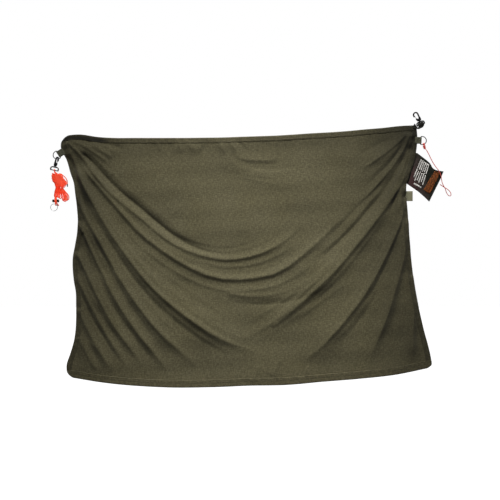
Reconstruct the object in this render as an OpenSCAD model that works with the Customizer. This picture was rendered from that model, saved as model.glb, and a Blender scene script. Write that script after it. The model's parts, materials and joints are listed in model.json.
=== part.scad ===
// Layout field blind: a hemmed knitted-mesh sheet with webbing tabs, D-rings, swivel snap
// hooks, a hanked guy line with a runner and a peg ring, a tie cord and a sewn storage pouch.
// Millimetres. X to the right, Y away from the front, Z up. The origin is the middle of the
// top hem's upper edge, where a line carries the blind.

/* [Sheet] */
// Thickness of the knitted mesh panel
mesh_t = 1.6; // [1:0.1:3]
// Thickness of a folded hem
hem_t = 4; // [3:0.2:6]
// Thickness of the side hems, which the webbing presses flat
side_hem_t = 3.4; // [2.6:0.1:3.6]
// Width of the top hem and side hems
hem_w = 21; // [15:1:30]
// Width of the bottom hem
bottom_hem_w = 30; // [20:1:45]
// Depth of the hanging folds
fold_depth = 26; // [0:1:40]

/* [Webbing] */
// Width of the tabs on the D-rings
web_w = 27.6; // [20:0.2:28]
// Thickness of the webbing
web_t = 1.8; // [1:0.1:2.5]
// How far a ring tab reaches over the hem
tab_len = 25; // [18:1:34]
// Clearance between webbing and what it goes round
web_gap = 0.1; // [0.05:0.05:0.4]

/* [D-rings] */
// Wire diameter of a D-ring
wire_d = 3.5; // [2.5:0.1:4]
// Radius of the round side, to the middle of the wire
ring_r = 16.5; // [14:0.5:20]
// Length of the straight legs, to the middle of the bar
ring_leg = 6.5; // [4:0.5:9]

/* [Swivel snap hooks] */
// Radius inside the crown of the hook
mouth_r = 6.5; // [5:0.5:8]
// Width of the crown's section
crown_w = 4.5; // [3:0.5:6]
// Thickness of the hook from front to back
hook_t = 5; // [4:0.5:7]
// Radius of the swivel pin
pin_r = 2.25; // [1.5:0.05:3]
// Running clearance round the swivel pin and gate pin
run_gap = 0.05; // [0.02:0.01:0.1]
// Radius of the round bar that closes the swivel eye
bar_r = 2.1; // [1.5:0.1:2.5]

/* [Cords] */
// Diameter of the guy line
line_d = 3.8; // [3:0.1:5]
// Diameter of the tie cord
tie_d = 3; // [2:0.1:4]
// Thickness of the hanked guy line from front to back
hank_t = 20; // [14:1:28]
// Outside diameter of the peg ring
peg_d = 30; // [24:1:40]
// Wire diameter of the peg ring
peg_wire = 1.6; // [1.2:0.1:2.5]

/* [Pouch] */
// Thickness of a pouch panel
pouch_t = 1.5; // [1:0.1:3]
// Space between the front and back panels
pouch_gap = 7; // [5:0.5:15]
// Distance from the sheet's middle back to the pouch's front
pouch_back_y = 3.2; // [2.5:0.1:8]

/* [Hidden] */
$fn = 48;
nu = 30;
nv = 20;
wire_r = wire_d / 2;
crown_r = mouth_r + crown_w;
eps = 0.01;

// Outline of the hanging sheet, equal steps along each side, [x, z].
top_edge = [[-770, 2], [-697, 7], [-624, -2], [-551, -6], [-478, -6], [-405, -6], [-333, -6],
  [-260, -6], [-187, -5], [-114, -4], [-41, -1.4], [32, 1.1], [105, 3.6], [178, 8], [250, 13],
  [323, 17], [396, 22], [469, 29], [542, 35], [615, 43], [681.5, 46]];
bottom_edge = [[-748, -986], [-598, -1010], [-449, -1024], [-299, -1030], [-150, -1028],
  [0, -1022], [150, -1019], [299, -1006], [449, -994], [598, -977], [748, -946]];
left_edge = [[-770, 2], [-775, -47], [-752, -97], [-737, -147], [-720, -196], [-713, -245],
  [-708, -294], [-705, -344], [-708, -393], [-717, -443], [-726, -492], [-727, -541],
  [-722, -591], [-714, -640], [-713, -690], [-713, -739], [-715, -788], [-722, -838],
  [-736, -887], [-752, -937], [-748, -986]];
right_edge = [[681.5, 46], [686, -2], [683, -51], [673, -101], [656, -151], [641, -201],
  [640, -250], [645, -300], [648, -350], [651, -400], [656, -449], [660, -499], [666, -549],
  [672, -598], [681, -648], [691, -698], [702, -747], [714, -797], [728, -847], [740, -897],
  [748, -946]];

function along(e, t) = let(n = len(e) - 1, k = min(n - 1, floor(t * n)), f = t * n - k)
  e[k] * (1 - f) + e[k + 1] * f;
function flat(u, v) =
  along(top_edge, u) * (1 - v) + along(bottom_edge, u) * v
  + along(left_edge, v) * (1 - u) + along(right_edge, v) * u
  - top_edge[0] * (1 - u) * (1 - v) - along(top_edge, 1) * u * (1 - v)
  - bottom_edge[0] * (1 - u) * v - along(bottom_edge, 1) * u * v;
// Folds fan out from both top corners and meet in the middle; the side hems stay flat.
function fan(a, b, k, ph) = let(r = norm([a * 1.5, b]))
  sin(atan2(b + 0.03, a * 1.5 + 0.03) * k + ph) * exp(-r * 1.2) * min(1, r * 4);
function inside(u) = max(0, min(1, (u - u1) / (u2 - u1)));
function fold(u, v) = let(w = inside(u)) fold_depth * (fan(u, v, 9, 30) + fan(1 - u, v, 10, 200))
  * min(1, v * 7) * min(1, w * 9) * min(1, (1 - w) * 9)
  - fold_depth * 0.5 * sin(180 * w) * sin(150 * v);
function sheet_point(u, v, s) = let(p = flat(u, v)) [p[0], fold(u, v) + s, p[1]];

u1 = hem_w / 1458;
u2 = 1 - u1;
v1 = hem_w / 990;
v2 = 1 - bottom_hem_w / 1010;
mid_u = [for (i = [0:nu]) u1 + (u2 - u1) * i / nu];
mid_v = [for (j = [0:nv]) v1 + (v2 - v1) * j / nv];
all_u = concat([0], mid_u, [1]);

// One sheet of cloth between parameter lines, thick along Y only, so neighbours meet face to face.
module cloth(us, vs, t) {
  a = len(us);
  b = len(vs);
  h = a * b;
  pts = concat([for (j = [0:b - 1], i = [0:a - 1]) sheet_point(us[i], vs[j], -t / 2)],
               [for (j = [0:b - 1], i = [0:a - 1]) sheet_point(us[i], vs[j], t / 2)]);
  front = [for (j = [0:b - 2], i = [0:a - 2], s = [0, 1]) let(k = j * a + i)
    s == 0 ? [k, k + 1, k + a + 1] : [k, k + a + 1, k + a]];
  back = [for (f = front) [f[2] + h, f[1] + h, f[0] + h]];
  top = [for (i = [0:a - 2]) [i, i + h, i + h + 1, i + 1]];
  bottom = [for (i = [0:a - 2]) let(k = (b - 1) * a + i) [k + 1, k + 1 + h, k + h, k]];
  left = [for (j = [0:b - 2]) let(k = j * a) [k, k + a, k + a + h, k + h]];
  right = [for (j = [0:b - 2]) let(k = j * a + a - 1) [k + h, k + a + h, k + a, k]];
  polyhedron(pts, concat(front, back, top, bottom, left, right), convexity = 10);
}

// A round cord along points p, with n sides.
function unit(v) = v / norm(v);
module cord(p, r, n = 8) {
  m = len(p);
  dirs = [for (i = [0:m - 1]) unit(p[min(m - 1, i + 1)] - p[max(0, i - 1)])];
  side = [0.31, 0.9, 0.3];
  pts = [for (i = [0:m - 1]) let(s = unit(side - dirs[i] * (side * dirs[i])), w = cross(dirs[i], s))
    for (k = [0:n - 1]) p[i] + r * (cos(360 * k / n) * s + sin(360 * k / n) * w)];
  walls = [for (i = [0:m - 2], k = [0:n - 1], h = [0, 1]) let(a = i * n + k, b = i * n + (k + 1) % n)
    h == 0 ? [a, a + n, b + n] : [a, b + n, b]];
  polyhedron(pts, concat([[for (k = [0:n - 1]) k]],
    [[for (k = [0:n - 1]) m * n - 1 - k]], walls), convexity = 10);
}

// Seen from the front: a flat outline in X and Z, from y0 back by t.
module slab(y0, t) translate([0, y0 + t, 0]) rotate([90, 0, 0]) linear_extrude(t) children();
module arc_rod(r, rod, from, sweep) rotate([90, 0, 0]) rotate([0, 0, from])
  rotate_extrude(angle = sweep) translate([r, 0]) circle(r = rod);

// Places. Hooks: origin at the top of the swivel eye, Z along the hook, nose to -X.
module at_ring_left() translate([-785, 0, -73]) rotate([0, 148, 0]) children();
module at_ring_right() translate([700, 0, -16.5]) rotate([0, 3, 0]) children();
left_tie = [-790.5, 0, -92.9];
left_lean = 12;
left_yaw = 132;
left_drop = 31.6;
module at_hook_left() translate(left_tie) rotate([0, left_lean, 0]) rotate([0, 0, left_yaw])
  translate([4.5, 0, -left_drop]) children();
left_eye = [left_tie[0] + 4.5 * cos(left_lean) * cos(left_yaw) - left_drop * sin(left_lean),
  4.5 * sin(left_yaw), left_tie[2] - 4.5 * cos(left_yaw) * sin(left_lean) - left_drop * cos(left_lean)];
module at_swivel_left() translate(left_eye) rotate([0, left_lean, 0]) children();
module at_hook_right() translate([695.5, 0, 62.3]) rotate([0, -23, 0]) children();

// D-ring: bar along Z at the origin, round side to +X.
corner_r = wire_r + 0.4;
module d_ring(rod = wire_r) {
  half = ring_r - corner_r;
  translate([0, 0, -half]) cylinder(h = 2 * half, r = rod);
  translate([ring_leg, 0, 0]) arc_rod(ring_r, rod, -90, 180);
  for (s = [-1, 1]) {
    translate([corner_r, 0, s * half]) arc_rod(corner_r, rod, s > 0 ? 90 : 180, 90);
    translate([corner_r, 0, s * ring_r]) rotate([0, 90, 0]) cylinder(h = ring_leg - corner_r, r = rod);
  }
}

// Webbing folded round a bar along Z, both layers running to -X.
module ring_tab() {
  ri = wire_r + web_gap;
  translate([0, 0, -web_w / 2]) linear_extrude(web_w) {
    difference() {
      circle(r = ri + web_t);
      circle(r = ri);
      translate([-20, -ri]) square([20, 2 * ri]);
    }
    for (y = [ri, -ri - web_t]) translate([-tab_len, y]) square([tab_len, web_t]);
  }
}

// Snap hook, nose to -X.
cx = -4.5;
cz = 30.5;
module hook_outline() {
  difference() {
    translate([cx, cz]) circle(r = crown_r);
    translate([cx, cz]) circle(r = mouth_r);
    translate([cx - 30, cz - 40]) square([60, 40]);
  }
  polygon([[cx + crown_r, cz], [7.4, 21], [9.2, 12], [9, 5], [6, 1], [-6, 1], [-9, 5],
    [-11, 10.5], [-10.8, 14], [-9, 16.2], [-7, 16.2], [-5.6, 14], [-2, 11.6], [1.2, 13.5],
    [2.4, 18], [cx + mouth_r, cz - 4], [cx + mouth_r, cz]]);
  polygon([[cx - crown_r, cz], [cx - mouth_r, cz], [-10.75, 27.5], [-10.75, 24], [-12.6, 22.6],
    [-14.8, 23.2], [-16, 26]]);
}
module snap_hook() difference() {
  union() {
    slab(-hook_t / 2, hook_t) hook_outline();
    translate([0, 0, 1]) cylinder(h = 7.4, r = 5);
  }
  translate([0, 0, -1]) cylinder(h = 5.2, r = pin_r + run_gap);
  translate([0, 0, 4.1]) cylinder(h = 2.9, r = 3.5);
  // slot and pin hole for the gate's root
  translate([-12.5, -1.6, 11.4]) cube([8, 3.2, 8]);
  translate([-8.2, 0, 14]) rotate([90, 0, 0]) cylinder(h = 3.8, r = 0.9 , center = true);
}
// The gate swings on its pin and closes against the inside of the nose.
module gate() difference() {
  union() {
    translate([-8.2, 1.4, 14]) rotate([90, 0, 0]) cylinder(h = 2.8, r = 1.9);
    slab(-1.4, 2.8) polygon([[-9.3, 14], [-7.3, 14.6], [-8.55, 25.3], [-10.4, 25.5]]);
  }
  translate([-8.2, 0, 14]) rotate([90, 0, 0]) cylinder(h = 4, r = 0.9 + run_gap, center = true);
}
module gate_pin() translate([-8.2, 0, 14]) rotate([90, 0, 0]) cylinder(h = 3.7, r = 0.9, center = true);

// Swivel eye below the hook: a flat eye closed by a round bar, with a headed pin on top.
module swivel() {
  slab(-2, 4) difference() {
    polygon([[-18, -15], [-18, -8], [-16, -3.2], [-9, 0], [9, 0], [16, -3.2], [18, -8],
      [18, -15], [16, -17.6], [13.2, -17.6], [-13.2, -17.6], [-16, -17.6]]);
    polygon([[-13.4, -18], [-13.4, -7.2], [-11.6, -5], [11.6, -5], [13.4, -7.2], [13.4, -18]]);
  }
  translate([-14, 0, -15.6]) rotate([0, 90, 0]) cylinder(h = 28, r = bar_r);
  translate([0, 0, -1]) cylinder(h = 5.4, r = pin_r);
  translate([0, 0, 4.4]) cylinder(h = 2.2, r = 3.3);
}

// Corner tab that carries the right swivel eye.
module hook_tab_shape() {
  ri = bar_r + web_gap;
  translate([0, 0, -15.6]) {
    translate([-12, 0, 0]) rotate([0, 90, 0]) rotate([0, 0, 90]) linear_extrude(24)
      difference() {
        circle(r = ri + web_t);
        circle(r = ri);
        translate([-ri, -20]) square([2 * ri, 20]);
        translate([-20, -40]) square([40, 40]);
      }
    for (y = [ri, -ri - web_t]) slab(y, web_t)
      polygon([[-12, 0], [12, 0], [12, -5], [3, -12], [-14, -13], [-36, -2], [-33, 8],
        [-22.5, 15], [-20, 3], [-19, -4], [-12, -5]]);
  }
}

// Guy line, hanked and hung over the left eye's bar.
hank_outline = [[-807, -152], [-801, -150], [-795, -149], [-782, -154], [-770, -163],
  [-757, -176], [-750, -185], [-752, -194], [-762, -199], [-768, -207], [-767, -216],
  [-757, -231], [-745, -250], [-743, -259], [-748, -265], [-755, -262], [-762, -266],
  [-769, -263], [-776, -252], [-784, -241], [-787, -249], [-793, -251], [-800, -247],
  [-801, -235], [-797, -222], [-797, -208], [-800, -196], [-808, -189], [-814, -180],
  [-815, -168], [-812, -158]];
eye_bar = [left_eye[0] - 15.6 * sin(left_lean), left_eye[1], left_eye[2] - 15.6 * cos(left_lean)];
module guy_hank_shape() {
  over = bar_r + line_d / 2 + 0.3;
  slab(left_eye[1] - hank_t / 2, hank_t) polygon(hank_outline);
  translate(eye_bar) rotate([0, left_lean, 0]) translate([1, 0, 0]) {
    rotate([0, 0, 90]) arc_rod(over, line_d / 2, 0, 180);
    for (y = [-over, over]) translate([0, y, -16]) cylinder(h = 16, r = line_d / 2);
  }
}
// Below the hank the line runs down through the runner, round the peg ring and back up.
tail_x = -797;
tail_y = left_eye[1];
leg_y = 3.9;
wire_z = -278.4;
tail_points = concat(
  [for (z = [-252, -257, -264, -271, -275]) [tail_x, tail_y - leg_y, z]],
  [for (a = [0:30:180]) [tail_x, tail_y - leg_y * cos(a), wire_z - 0.2 - leg_y * sin(a)]],
  [for (z = [-275, -271, -264, -257, -252.5]) [tail_x, tail_y + leg_y, z]]);
module runner_shape() difference() {
  translate([tail_x, tail_y, -264]) {
    slab(-4.3, 8.6) polygon([[-12, -4.5], [12, -4.5], [12, 4.5], [-12, 4.5]]);
    for (s = [-1, 1]) slab(-6.5, 13) polygon([[s * 6, -5], [s * 11, -6], [s * 13.5, -3],
      [s * 13.5, 3], [s * 11, 6], [s * 6, 5]]);
  }
  for (s = [-1, 1]) translate([tail_x, tail_y + s * leg_y, -280]) cylinder(h = 32, r = line_d / 2 + 0.2);
}
peg_r = (peg_d - peg_wire) / 2;
peg_tilt = 30;
module peg_ring_shape() translate([tail_x - peg_r * sin(peg_tilt), tail_y, wire_z - peg_r * cos(peg_tilt)])
  rotate([90, 0, 0]) rotate_extrude() for (s = [-1, 1]) translate([peg_r, s * peg_wire * 0.42])
    circle(r = peg_wire / 2);

// Tie cord on the right D-ring, lying in front of the pouch, ending in a small loop.
tie_points = [[717.5, -4, -50], [725, -4.5, -60], [733, -5, -75], [741, -5.5, -92], [750, -6, -109],
  [760, -6.5, -124], [770, -7, -137], [778, -7.5, -150], [782, -8, -163], [784, -8, -177],
  [787, -8, -191], [793, -8, -204], [799, -8, -215], [803, -7.5, -227], [808, -7, -237],
  [814, -6.5, -243], [820, -6, -244], [823, -5.5, -239], [821, -5, -230], [814, -4.5, -221],
  [805, -4, -214], [795, -4, -208], [786, -4, -202], [778, -4, -197]];
module knot_shape() difference() {
  union() {
    translate([712.5, -1, -37]) sphere(r = 5.6);
    translate([715.5, -2.5, -44]) sphere(r = 4.8);
  }
  at_ring_right() translate([ring_leg, 0, 0]) arc_rod(ring_r, wire_r + 0.1, -95, 100);
  cord([[709.5, 0, -60], [711, -1, -49], [725, -5, -41]], 0.4, 4);
}

// Pouch sewn to the sheet's right side; its mouth is the outer edge.
pouch_outline = [[687, -68], [742, -114], [766, -135], [794, -143], [781, -175], [736, -266],
  [719, -254], [708, -238], [691, -226], [646, -194]];
pouch_rim_top = [[687, -68], [742, -114], [766, -135], [794, -143], [793, -146], [764, -138.5],
  [740, -117.5], [687, -72]];
pouch_rim_low = [[736, -266], [719, -254], [708, -238], [691, -226], [646, -194], [647.5, -190.5],
  [693, -222.5], [711, -235], [722, -251], [737.5, -262.5]];
pouch_rim_seam = [[687, -68], [646, -194], [649.5, -194.5], [689.8, -71]];
mouth_strip = [[794, -143], [781, -175], [736, -266], [729, -261.5], [773, -173], [786, -145]];
pouch_front_y = pouch_back_y;
pouch_in_y = pouch_front_y + pouch_t;
pouch_out_y = pouch_in_y + pouch_gap;
// printed rows are plain bars, longer and shorter by turns
module label_rows() {
  for (k = [0:5]) {
    a = [703, -94] + [31, -21] * k / 5;
    b = [667, -179] + [40, -21] * k / 5;
    d = unit(b - a);
    n = 1.8 * [d[1], -d[0]];
    cut = [0.86, 1, 0.93, 0.98, 0.9, 1][k];
    for (part = [[0, 0.47 * cut], [0.52 * cut, cut]]) {
      p = a + (b - a) * part[0];
      q = a + (b - a) * part[1];
      polygon([p - n, p + n, q + n, q - n]);
    }
  }
  polygon([[673, -190], [703, -207], [701.5, -213], [671, -196]]);
}

module mesh_panel() color([0.31, 0.29, 0.2]) cloth(mid_u, mid_v, mesh_t);
module top_hem() color([0.27, 0.26, 0.18]) cloth(all_u, [0, v1], hem_t);
module bottom_hem() color([0.27, 0.26, 0.18]) cloth(all_u, [v2, 1], hem_t);
module left_hem() color([0.26, 0.25, 0.17]) cloth([0, u1], mid_v, side_hem_t);
module right_hem() color([0.26, 0.25, 0.17]) cloth([u2, 1], mid_v, side_hem_t);
module left_ring_tab() color([0.34, 0.34, 0.27]) at_ring_left() ring_tab();
module right_ring_tab() color([0.34, 0.34, 0.27]) at_ring_right() ring_tab();
module hook_tab() color([0.3, 0.3, 0.22]) at_hook_right() hook_tab_shape();
// folded webbing loop on the right side, open along Z for a stake
module side_loop() color([0.5, 0.49, 0.4]) translate([0, 0, -265]) linear_extrude(41) {
  translate([663, 0]) difference() {
    circle(r = 2.3 + web_t);
    circle(r = 2.3);
    translate([-20, -20]) square([20, 40]);
  }
  for (y = [2.3, -2.3 - web_t]) translate([630, y]) square([33, web_t]);
}
// flange that joins the pouch to the back of the right hem
module pouch_seam() color([0.2, 0.19, 0.15]) slab(hem_t / 2 + 0.15, 0.9)
  polygon([[686, -68], [645, -194], [634, -190], [674, -64]]);
module ring_left() color([0.35, 0.34, 0.35]) at_ring_left() d_ring();
module hook_left() color([0.09, 0.09, 0.1]) at_hook_left() snap_hook();
module gate_left() color([0.12, 0.12, 0.13]) at_hook_left() gate();
module gate_pin_left() color([0.5, 0.5, 0.5]) at_hook_left() gate_pin();
module swivel_left() color([0.09, 0.09, 0.1]) at_swivel_left() swivel();
module guy_hank() color([0.95, 0.25, 0.12]) guy_hank_shape();
module guy_tail() color([0.95, 0.25, 0.12]) cord(tail_points, line_d / 2);
module guy_end_upper() color([0.15, 0.13, 0.1]) translate([-749, tail_y, -206]) cylinder(h = 11, r = 2.1);
module guy_end_lower() color([0.2, 0.19, 0.1]) translate([-785, tail_y - leg_y - 0.3, -283.5])
  rotate([0, -70, 0]) cylinder(h = 10, r = 2);
module line_runner() color([0.16, 0.1, 0.08]) runner_shape();
module peg_ring() color([0.7, 0.7, 0.72]) peg_ring_shape();
module ring_right() color([0.35, 0.34, 0.35]) at_ring_right() d_ring();
module cord_knot() color([0.55, 0.2, 0.18]) knot_shape();
module tie_cord() color([0.8, 0.32, 0.3]) cord(tie_points, tie_d / 2);
module hook_right() color([0.09, 0.09, 0.1]) at_hook_right() snap_hook();
module gate_right() color([0.12, 0.12, 0.13]) at_hook_right() gate();
module gate_pin_right() color([0.5, 0.5, 0.5]) at_hook_right() gate_pin();
module swivel_right() color([0.09, 0.09, 0.1]) at_hook_right() swivel();
module pouch_front() color([0.22, 0.2, 0.18]) slab(pouch_front_y, pouch_t) polygon(pouch_outline);
module pouch_back() color([0.22, 0.2, 0.18]) slab(pouch_out_y, pouch_t) polygon(pouch_outline);
module pouch_binding() color([0.18, 0.17, 0.15]) slab(pouch_in_y, pouch_gap) {
  polygon(pouch_rim_top);
  polygon(pouch_rim_low);
  polygon(pouch_rim_seam);
}
module pouch_mouth_hem() color([0.12, 0.11, 0.1]) {
  slab(pouch_front_y - 0.8, 0.8) polygon(mouth_strip);
  slab(pouch_out_y + pouch_t, 0.8) polygon(mouth_strip);
}
module pouch_label() color([0.8, 0.78, 0.74]) slab(pouch_front_y - 0.3, 0.3) label_rows();
module pouch_band() color([0.43, 0.24, 0.1]) slab(pouch_front_y - 0.3, 0.3)
  polygon([[757, -141], [782, -147.5], [738, -236], [710, -219]]);

mesh_panel();
top_hem();
bottom_hem();
left_hem();
right_hem();
left_ring_tab();
right_ring_tab();
hook_tab();
side_loop();
pouch_seam();
ring_left();
hook_left();
gate_left();
gate_pin_left();
swivel_left();
guy_hank();
guy_tail();
guy_end_upper();
guy_end_lower();
line_runner();
peg_ring();
ring_right();
cord_knot();
tie_cord();
hook_right();
gate_right();
gate_pin_right();
swivel_right();
pouch_front();
pouch_back();
pouch_binding();
pouch_mouth_hem();
pouch_label();
pouch_band();
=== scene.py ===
import bmesh
import bpy
import json
import math
import random
import numpy as np
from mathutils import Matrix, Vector

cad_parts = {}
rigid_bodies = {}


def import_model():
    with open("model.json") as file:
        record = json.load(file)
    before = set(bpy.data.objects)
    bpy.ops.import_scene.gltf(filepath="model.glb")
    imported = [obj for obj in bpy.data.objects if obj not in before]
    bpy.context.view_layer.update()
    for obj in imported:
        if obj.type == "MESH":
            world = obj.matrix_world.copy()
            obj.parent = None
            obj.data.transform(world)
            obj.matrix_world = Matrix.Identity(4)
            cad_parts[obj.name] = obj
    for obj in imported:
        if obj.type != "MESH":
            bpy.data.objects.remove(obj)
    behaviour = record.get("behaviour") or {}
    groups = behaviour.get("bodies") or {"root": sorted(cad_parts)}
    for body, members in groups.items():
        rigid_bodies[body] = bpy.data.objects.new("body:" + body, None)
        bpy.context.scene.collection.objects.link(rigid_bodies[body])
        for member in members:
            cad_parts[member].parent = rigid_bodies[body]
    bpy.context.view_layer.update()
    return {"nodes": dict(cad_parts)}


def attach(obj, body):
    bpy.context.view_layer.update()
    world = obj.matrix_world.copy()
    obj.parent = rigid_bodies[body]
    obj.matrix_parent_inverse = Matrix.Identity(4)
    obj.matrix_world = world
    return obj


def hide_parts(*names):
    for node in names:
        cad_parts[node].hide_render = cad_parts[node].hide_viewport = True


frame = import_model()
scene = bpy.context.scene
rng = np.random.default_rng(7)
random.seed(7)

# ---------------------------------------------------------------- camera
DIST = 4.5
cam_data = bpy.data.cameras.new("camera")
cam = bpy.data.objects.new("camera", cam_data)
scene.collection.objects.link(cam)
cam_data.sensor_width = 36
cam_data.lens = 36 * DIST / 2.05
cam.location = (0, -DIST, -0.4655)
cam.rotation_euler = (math.radians(90), 0, 0)
scene.camera = cam


# ---------------------------------------------------------------- helpers
def smooth(points, n, closed=False):
    """n points, evenly spaced, on a smooth line through the given ones."""
    p = np.array(points, float)
    q = np.vstack([2 * p[0] - p[1], p, 2 * p[-1] - p[-2]])
    out = []
    for i in range(1, len(q) - 2):
        a, b, c, d = q[i - 1], q[i], q[i + 1], q[i + 2]
        for t in np.linspace(0, 1, 24, endpoint=False):
            out.append(0.5 * (2 * b + (c - a) * t + (2 * a - 5 * b + 4 * c - d) * t * t
                              + (3 * b - a - 3 * c + d) * t ** 3))
    out.append(q[-2])
    out = np.array(out)
    s = np.concatenate([[0], np.cumsum(np.linalg.norm(np.diff(out, axis=0), axis=1))])
    t = np.linspace(0, s[-1], n)
    return np.stack([np.interp(t, s, out[:, k]) for k in range(p.shape[1])], 1)


def mesh_object(name, verts, faces, mat=None, uv=None, shade=True, painted_shade=None):
    me = bpy.data.meshes.new(name)
    me.from_pydata([tuple(v) for v in verts], [], [tuple(f) for f in faces])
    # per-vertex painted shade, read by the cloth materials
    if painted_shade is not None:
        me.attributes.new("painted_shade", "FLOAT", "POINT").data.foreach_set("value", np.ravel(painted_shade).astype(np.float32))
    if uv is not None:
        layer = me.uv_layers.new(name="UVMap")
        idx = np.zeros(len(me.loops), np.int32)
        me.loops.foreach_get("vertex_index", idx)
        layer.data.foreach_set("uv", np.asarray(uv, np.float32)[idx].ravel())
    me.update()
    if shade:
        me.polygons.foreach_set("use_smooth", [True] * len(me.polygons))
    ob = bpy.data.objects.new(name, me)
    scene.collection.objects.link(ob)
    if mat:
        me.materials.append(mat)
    return ob


def grid_faces(a, b, wrap=False, start=0):
    """Faces of a grid of b rows of a points; wrap joins the last row to the first."""
    j, i = np.meshgrid(np.arange(b if wrap else b - 1), np.arange(a - 1), indexing="ij")
    k = j * a + i + start
    m = ((j + 1) % b) * a + i + start
    return np.stack([k, k + 1, m + 1, m], -1).reshape(-1, 4)


def tube(name, points, r, mat, sides=12, taper=None):
    """A round cord with its ends closed; UV runs along it in metres / circumference."""
    p = np.array(points, float)
    t = np.gradient(p, axis=0)
    t /= np.linalg.norm(t, axis=1)[:, None]
    n = np.cross(t[0], (0.3, 0.9, 0.31))
    n /= np.linalg.norm(n)
    rows, uv = [], []
    s = 0
    for i in range(len(p)):
        if i:
            n = n - t[i] * (n @ t[i])
            n /= np.linalg.norm(n)
            s += np.linalg.norm(p[i] - p[i - 1])
        b = np.cross(t[i], n)
        rr = r * (taper(i / (len(p) - 1)) if taper else 1)
        for k in range(sides + 1):
            a = 2 * math.pi * k / sides
            rows.append(p[i] + rr * (math.cos(a) * n + math.sin(a) * b))
            uv.append((k / sides, s / (2 * math.pi * r)))
    w = sides + 1
    faces = [tuple(f) for f in grid_faces(w, len(p))]
    faces.append(tuple(range(sides, -1, -1))[:-1])
    faces.append(tuple((len(p) - 1) * w + k for k in range(sides)))
    ob = mesh_object(name, rows, faces, mat, uv)
    return ob


def strip(name, path, side, width, thick, mat, wave=0.0):
    """Flat webbing along path, side is its width direction, with rounded edges and a UV in metres."""
    p = np.array(path, float)
    t = np.gradient(p, axis=0)
    t /= np.linalg.norm(t, axis=1)[:, None]
    e = np.array(side, float) / np.linalg.norm(side)
    half, h = width / 2, thick / 2
    ring = [(-half + h, h), (-half * 0.5, h), (0, h), (half * 0.5, h), (half - h, h), (half - h * 0.3, h * 0.7),
            (half, 0), (half - h * 0.3, -h * 0.7), (half - h, -h), (half * 0.5, -h), (0, -h),
            (-half * 0.5, -h), (-half + h, -h), (-half + h * 0.3, -h * 0.7), (-half, 0),
            (-half + h * 0.3, h * 0.7)]
    rows, uv = [], []
    s = 0
    for i in range(len(p)):
        if i:
            s += np.linalg.norm(p[i] - p[i - 1])
        n = np.cross(t[i], e)
        n /= np.linalg.norm(n)
        for a, b in ring + ring[:1]:
            rows.append(p[i] + e * a + n * (b + wave * math.sin(s * 300 + a * 200)))
            uv.append((a, s))
    w = len(ring) + 1
    faces = [tuple(f) for f in grid_faces(w, len(p))]
    faces.append(tuple(range(w - 2, -1, -1)))
    faces.append(tuple((len(p) - 1) * w + k for k in range(w - 1)))
    return mesh_object(name, rows, faces, mat, uv)


# ---------------------------------------------------------------- materials
def lin(c):
    c = c / 255
    return c / 12.92 if c <= 0.04045 else ((c + 0.055) / 1.055) ** 2.4


def rgb(r, g, b):
    return (lin(r), lin(g), lin(b), 1)


class Mat:
    def __init__(self, name, color, rough=0.8, metal=0.0, spec=0.3):
        self.m = bpy.data.materials.new(name)
        self.m.use_nodes = True
        self.nt = self.m.node_tree
        self.b = self.nt.nodes["Principled BSDF"]
        self.b.inputs["Base Color"].default_value = color
        self.b.inputs["Roughness"].default_value = rough
        self.b.inputs["Metallic"].default_value = metal
        self.b.inputs["Specular IOR Level"].default_value = spec

    def n(self, kind, **kw):
        node = self.nt.nodes.new(kind)
        for k, v in kw.items():
            if hasattr(node, k):
                setattr(node, k, v)
            else:
                node.inputs[k.replace("_", " ")].default_value = v
        return node

    def l(self, a, b):
        self.nt.links.new(a, b)

    def coords(self, which="UV"):
        return self.n("ShaderNodeTexCoord").outputs[which]

    def math(self, op, a, b=None, c=None):
        node = self.n("ShaderNodeMath", operation=op)
        for k, v in enumerate((a, b, c)):
            if v is None:
                continue
            if isinstance(v, (int, float)):
                node.inputs[k].default_value = v
            else:
                self.l(v, node.inputs[k])
        return node.outputs[0]

    def mix(self, f, a, b):
        node = self.n("ShaderNodeMix", data_type="RGBA")
        for sock, v in ((node.inputs[0], f), (node.inputs[6], a), (node.inputs[7], b)):
            if isinstance(v, (tuple, int, float)):
                sock.default_value = v
            else:
                self.l(v, sock)
        return node.outputs[2]

    def noise(self, vec, scale, detail=2, rough=0.5):
        node = self.n("ShaderNodeTexNoise")
        node.inputs["Scale"].default_value = scale
        node.inputs["Detail"].default_value = detail
        node.inputs["Roughness"].default_value = rough
        self.l(vec, node.inputs["Vector"])
        return node.outputs["Fac"]

    def ramp(self, f, stops):
        node = self.n("ShaderNodeValToRGB")
        cr = node.color_ramp
        while len(cr.elements) < len(stops):
            cr.elements.new(0.5)
        for e, (pos, c) in zip(cr.elements, stops):
            e.position = pos
            e.color = c
        self.l(f, node.inputs[0])
        return node.outputs[0]

    def bump(self, height, strength=0.3, dist=0.001):
        node = self.n("ShaderNodeBump")
        node.inputs["Strength"].default_value = strength
        node.inputs["Distance"].default_value = dist
        self.l(height, node.inputs["Height"])
        self.l(node.outputs[0], self.b.inputs["Normal"])

    def color(self, out):
        self.l(out, self.b.inputs["Base Color"])


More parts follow.
